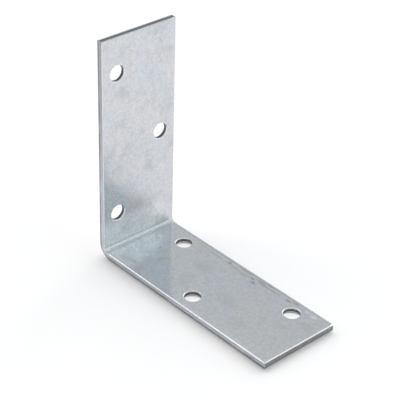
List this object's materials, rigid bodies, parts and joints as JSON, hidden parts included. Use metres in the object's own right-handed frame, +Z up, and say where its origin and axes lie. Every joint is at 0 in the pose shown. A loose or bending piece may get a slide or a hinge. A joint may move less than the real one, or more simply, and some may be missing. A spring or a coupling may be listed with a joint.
{
  "type": "angle bracket",
  "caption": "Right-angle steel bracket folded from one flat strip, with staggered countersunk holes in both legs for joining two boards or beams at a corner.",
  "frame": {"origin": "middle of the base leg's outer face, which is the middle of the box's underside", "axes": "+X along the base leg away from the fold, +Y across the strip, +Z up along the standing leg"},
  "size_m": [0.08, 0.0302, 0.08],
  "materials": {
    "zinc_steel": "zinc coated sheet steel, satin, faintly mottled, brighter along the inner edges"
  },
  "bodies": {
    "root": {"angle_bracket": "zinc_steel"}
  },
  "joints": []
}
